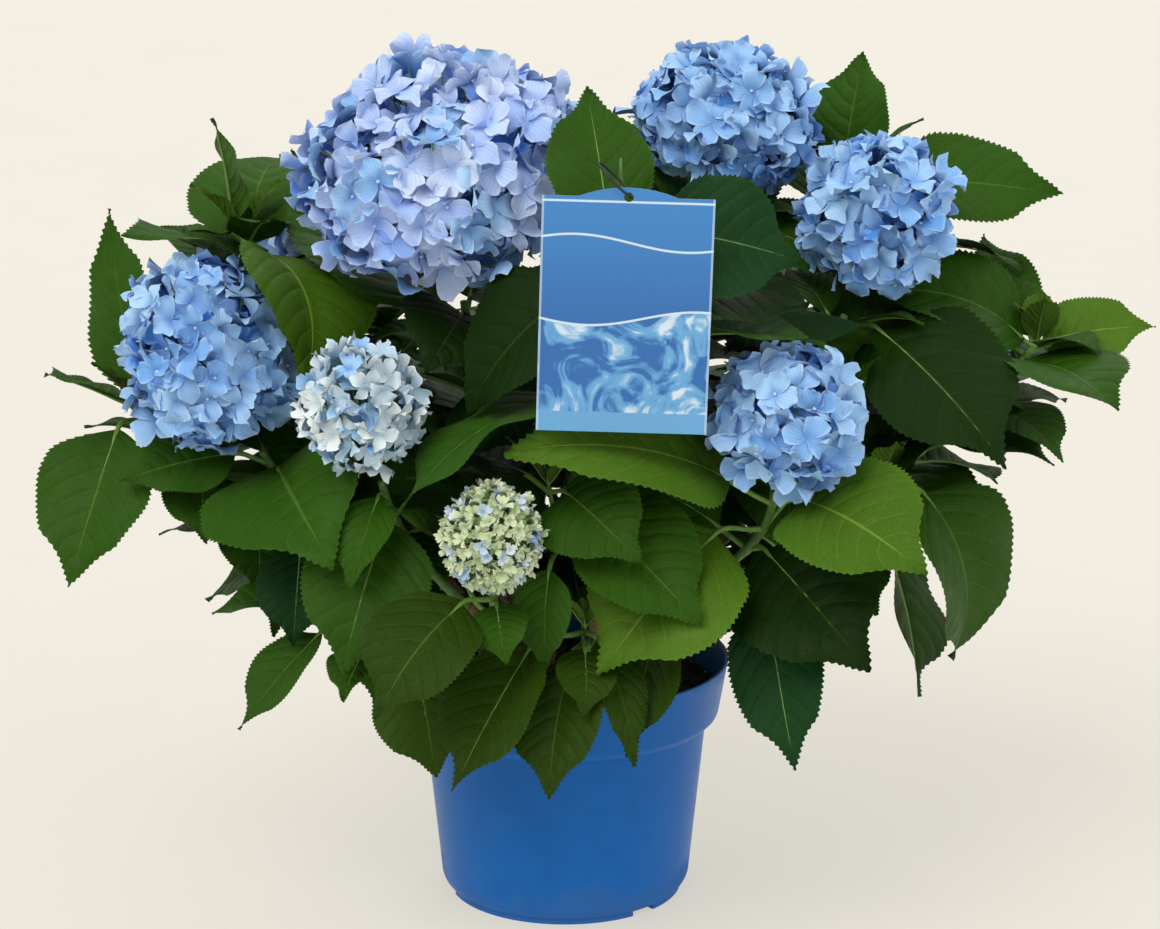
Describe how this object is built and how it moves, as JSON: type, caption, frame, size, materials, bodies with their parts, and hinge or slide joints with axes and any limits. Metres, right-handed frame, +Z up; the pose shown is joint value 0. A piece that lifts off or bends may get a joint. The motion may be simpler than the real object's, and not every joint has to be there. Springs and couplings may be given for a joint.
{
  "type": "potted hydrangea shrub",
  "caption": "Mophead hydrangea shrub in a round nursery pot: woody boughs, leafy green shoots with large toothed leaves, rounded flower heads and a hanging plant label.",
  "frame": {"origin": "centre of the pot's flat underside", "axes": "+Z up; -Y the front, the side that the picture shows; +X to the right of it"},
  "size_m": [0.7633, 0.5599, 0.6086],
  "materials": {
    "pot": "satin moulded plastic",
    "compost": "damp crumbs of peat and bark",
    "bark": "thin flaking bark",
    "leaf": "satin leaf with pale veins",
    "bloom_lavender": "soft petals",
    "bloom_blue": "soft petals",
    "bloom_pale": "soft petals",
    "bloom_green": "soft petals",
    "label": "printed plastic card",
    "tie": "dark elastic loop"
  },
  "bodies": {
    "root": {"bloom_back_flower": "bloom_blue", "bloom_back_left_flower": "bloom_lavender", "bloom_front_bud": "bloom_green", "bloom_front_pale": "bloom_pale", "bloom_front_right_flower": "bloom_blue", "bloom_left_flower": "bloom_blue", "bloom_right_back_flower": "bloom_blue", "bloom_right_high": "bloom_blue", "bloom_top_left": "bloom_lavender", "bloom_top_right": "bloom_blue", "bough_back": "bark", "bough_back_left": "bark", "bough_back_right": "bark", "bough_front": "bark", "bough_front_left": "bark", "bough_front_right": "bark", "bough_left": "bark", "bough_middle": "bark", "bough_right": "bark", "compost": "compost", "label": "label", "label_tie": "tie", "leaves_back_flower": "leaf", "leaves_back_left_flower": "leaf", "leaves_back_low_left": "leaf", "leaves_back_low_right": "leaf", "leaves_behind_left": "leaf", "leaves_behind_right": "leaf", "leaves_far_left": "leaf", "leaves_far_right": "leaf", "leaves_front_bud": "leaf", "leaves_front_low": "leaf", "leaves_front_middle": "leaf", "leaves_front_pale": "leaf", "leaves_front_right_flower": "leaf", "leaves_label_shoot": "leaf", "leaves_left_flower": "leaf", "leaves_left_low": "leaf", "leaves_right_back_flower": "leaf", "leaves_right_high": "leaf", "leaves_right_low": "leaf", "leaves_top_left": "leaf", "leaves_top_right": "leaf", "pot": "pot"}
  },
  "joints": []
}
